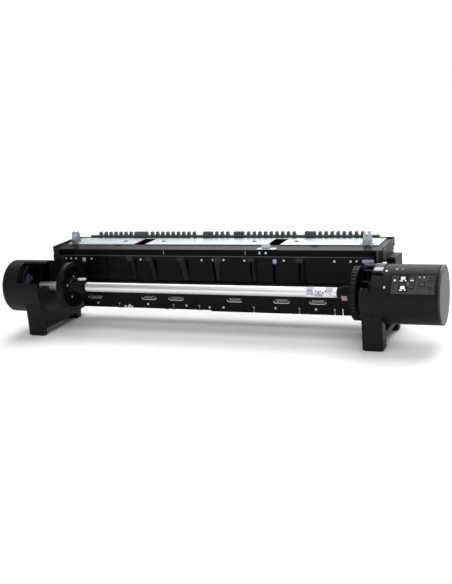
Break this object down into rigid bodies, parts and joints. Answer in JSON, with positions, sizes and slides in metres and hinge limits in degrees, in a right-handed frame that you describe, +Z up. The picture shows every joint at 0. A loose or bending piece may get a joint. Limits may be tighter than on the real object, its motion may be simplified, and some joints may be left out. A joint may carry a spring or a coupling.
{
  "type": "roll feed unit of a large format plotter",
  "caption": "Roll feed and take-up unit of a large format plotter: a flanged spool between drum housings on legs, a curved paper guide, a plated top and a key panel.",
  "frame": {"origin": "on the floor below the middle of the unit", "axes": "+X to the right seen from the operator's side, parallel to the spool; +Y to the back; +Z up"},
  "size_m": [1.593, 0.392, 0.338],
  "materials": {
    "casing": "fine satin texture, charcoal",
    "cap": "satin, dark grey",
    "dark_plastic": "satin black",
    "black_sheet": "semi-gloss powder coat",
    "zinc": "bright blue-white zinc plating",
    "steel": "turned, satin",
    "spool_aluminium": "drawn and polished",
    "touch_blue": "satin light blue",
    "tan": "satin",
    "key": "fine satin",
    "display": "gloss black window",
    "circuit_board": "solder-masked board",
    "rubber": "matte"
  },
  "bodies": {
    "frame": {"top_tray": "black_sheet", "zinc_plate": "zinc", "rear_comb": "dark_plastic", "post_bracket_left": "zinc", "post_bracket_right": "zinc", "middle_bracket": "zinc", "paper_guide_left": "casing", "paper_guide_right": "casing", "lower_panel_left": "black_sheet", "lower_panel_right": "black_sheet", "cross_beam": "black_sheet", "rear_panel": "black_sheet", "end_plate_left": "black_sheet", "end_plate_right": "black_sheet", "leg_left": "casing", "leg_right": "casing", "foot_shoe_left": "casing", "foot_shoe_right": "casing", "pad_front_left": "rubber", "pad_front_right": "rubber", "pad_rear_left": "rubber", "pad_rear_right": "rubber", "drum_cap_left": "cap", "drum_cap_right": "cap", "drum_cover_left": "casing", "cradle_left": "dark_plastic", "shaft_holder_left": "touch_blue", "support_right": "casing", "cradle_right": "dark_plastic", "drum_cover_right": "casing", "panel_plate": "casing", "display_upper": "display", "display_lower": "display", "control_board": "circuit_board", "gear_plate": "zinc", "drive_motor": "dark_plastic"},
    "spool": {"spool_shaft": "spool_aluminium", "spool_gear": "dark_plastic", "flange_right": "dark_plastic", "torque_tab": "tan"},
    "pinion": {"drive_pinion": "steel"},
    "cradle_roller_a": {"cradle_roller_front": "steel"},
    "cradle_roller_b": {"cradle_roller_rear": "steel"},
    "stopper": {"flange_left": "dark_plastic"},
    "stopper_lock": {"lock_lever": "touch_blue"},
    "release": {"release_lever": "touch_blue"},
    "latch": {"guide_latch": "touch_blue"},
    "roller_1": {"guide_roller_1": "steel"},
    "roller_2": {"guide_roller_2": "steel"},
    "roller_3": {"guide_roller_3": "steel"},
    "roller_4": {"guide_roller_4": "steel"},
    "roller_5": {"guide_roller_5": "steel"},
    "roller_6": {"guide_roller_6": "steel"},
    "mode_key_upper_body": {"mode_key_upper": "key"},
    "mode_key_lower_body": {"mode_key_lower": "key"},
    "square_key_body": {"square_key": "key"},
    "up_key_body": {"up_key": "key"},
    "down_key_body": {"down_key": "key"}
  },
  "joints": [
    {"name": "spool_spin", "type": "hinge", "parent": "frame", "child": "spool", "pos_m": [0, -0.1, 0.17], "axis": [1, 0, 0], "continuous": true},
    {"name": "pinion_spin", "type": "hinge", "parent": "frame", "child": "pinion", "pos_m": [0.6, -0.06578, 0.13578], "axis": [1, 0, 0], "continuous": true},
    {"name": "cradle_roller_a_spin", "type": "hinge", "parent": "frame", "child": "cradle_roller_a", "pos_m": [-0.683, -0.1186, 0.1514], "axis": [1, 0, 0], "continuous": true},
    {"name": "cradle_roller_b_spin", "type": "hinge", "parent": "frame", "child": "cradle_roller_b", "pos_m": [-0.683, -0.0814, 0.1514], "axis": [1, 0, 0], "continuous": true},
    {"name": "stopper_slide", "type": "slide", "parent": "spool", "child": "stopper", "axis": [1, 0, 0], "range_m": [-0.057, 0.858]},
    {"name": "stopper_lock_lift", "type": "hinge", "parent": "stopper", "child": "stopper_lock", "pos_m": [-0.54, -0.1, 0.1985], "axis": [0, -1, 0], "range_deg": [0, 80]},
    {"name": "release_lift", "type": "hinge", "parent": "frame", "child": "release", "pos_m": [0.6, -0.092, 0.258], "axis": [-1, 0, 0], "range_deg": [0, 60]},
    {"name": "latch_tilt", "type": "hinge", "parent": "frame", "child": "latch", "pos_m": [0.5315, -0.0006, 0.2485], "axis": [1, 0, 0], "range_deg": [0, 35], "stiffness_Nm_per_rad": 0.05},
    {"name": "roller_1_spin", "type": "hinge", "parent": "frame", "child": "roller_1", "pos_m": [-0.536, 0.025, 0.104], "axis": [1, 0, 0], "continuous": true},
    {"name": "roller_2_spin", "type": "hinge", "parent": "frame", "child": "roller_2", "pos_m": [-0.306, 0.025, 0.104], "axis": [1, 0, 0], "continuous": true},
    {"name": "roller_3_spin", "type": "hinge", "parent": "frame", "child": "roller_3", "pos_m": [-0.196, 0.025, 0.104], "axis": [1, 0, 0], "continuous": true},
    {"name": "roller_4_spin", "type": "hinge", "parent": "frame", "child": "roller_4", "pos_m": [0.035, 0.025, 0.104], "axis": [1, 0, 0], "continuous": true},
    {"name": "roller_5_spin", "type": "hinge", "parent": "frame", "child": "roller_5", "pos_m": [0.212, 0.025, 0.104], "axis": [1, 0, 0], "continuous": true},
    {"name": "roller_6_spin", "type": "hinge", "parent": "frame", "child": "roller_6", "pos_m": [0.344, 0.025, 0.104], "axis": [1, 0, 0], "continuous": true},
    {"name": "mode_key_upper_press", "type": "slide", "parent": "frame", "child": "mode_key_upper_body", "axis": [0, 0.8141, -0.5807], "range_m": [0, 0.0012], "stiffness_N_per_m": 400},
    {"name": "mode_key_lower_press", "type": "slide", "parent": "frame", "child": "mode_key_lower_body", "axis": [0, 0.8141, -0.5807], "range_m": [0, 0.0012], "stiffness_N_per_m": 400},
    {"name": "square_key_press", "type": "slide", "parent": "frame", "child": "square_key_body", "axis": [0, 0.8141, -0.5807], "range_m": [0, 0.0012], "stiffness_N_per_m": 400},
    {"name": "up_key_press", "type": "slide", "parent": "frame", "child": "up_key_body", "axis": [0, 0.8141, -0.5807], "range_m": [0, 0.0012], "stiffness_N_per_m": 400},
    {"name": "down_key_press", "type": "slide", "parent": "frame", "child": "down_key_body", "axis": [0, 0.8141, -0.5807], "range_m": [0, 0.0012], "stiffness_N_per_m": 400}
  ],
  "couplings": [
    {"joint": "pinion_spin", "follows": "spool_spin", "ratio": -2.4286},
    {"joint": "cradle_roller_a_spin", "follows": "spool_spin", "ratio": -1.8889},
    {"joint": "cradle_roller_b_spin", "follows": "spool_spin", "ratio": -1.8889}
  ]
}
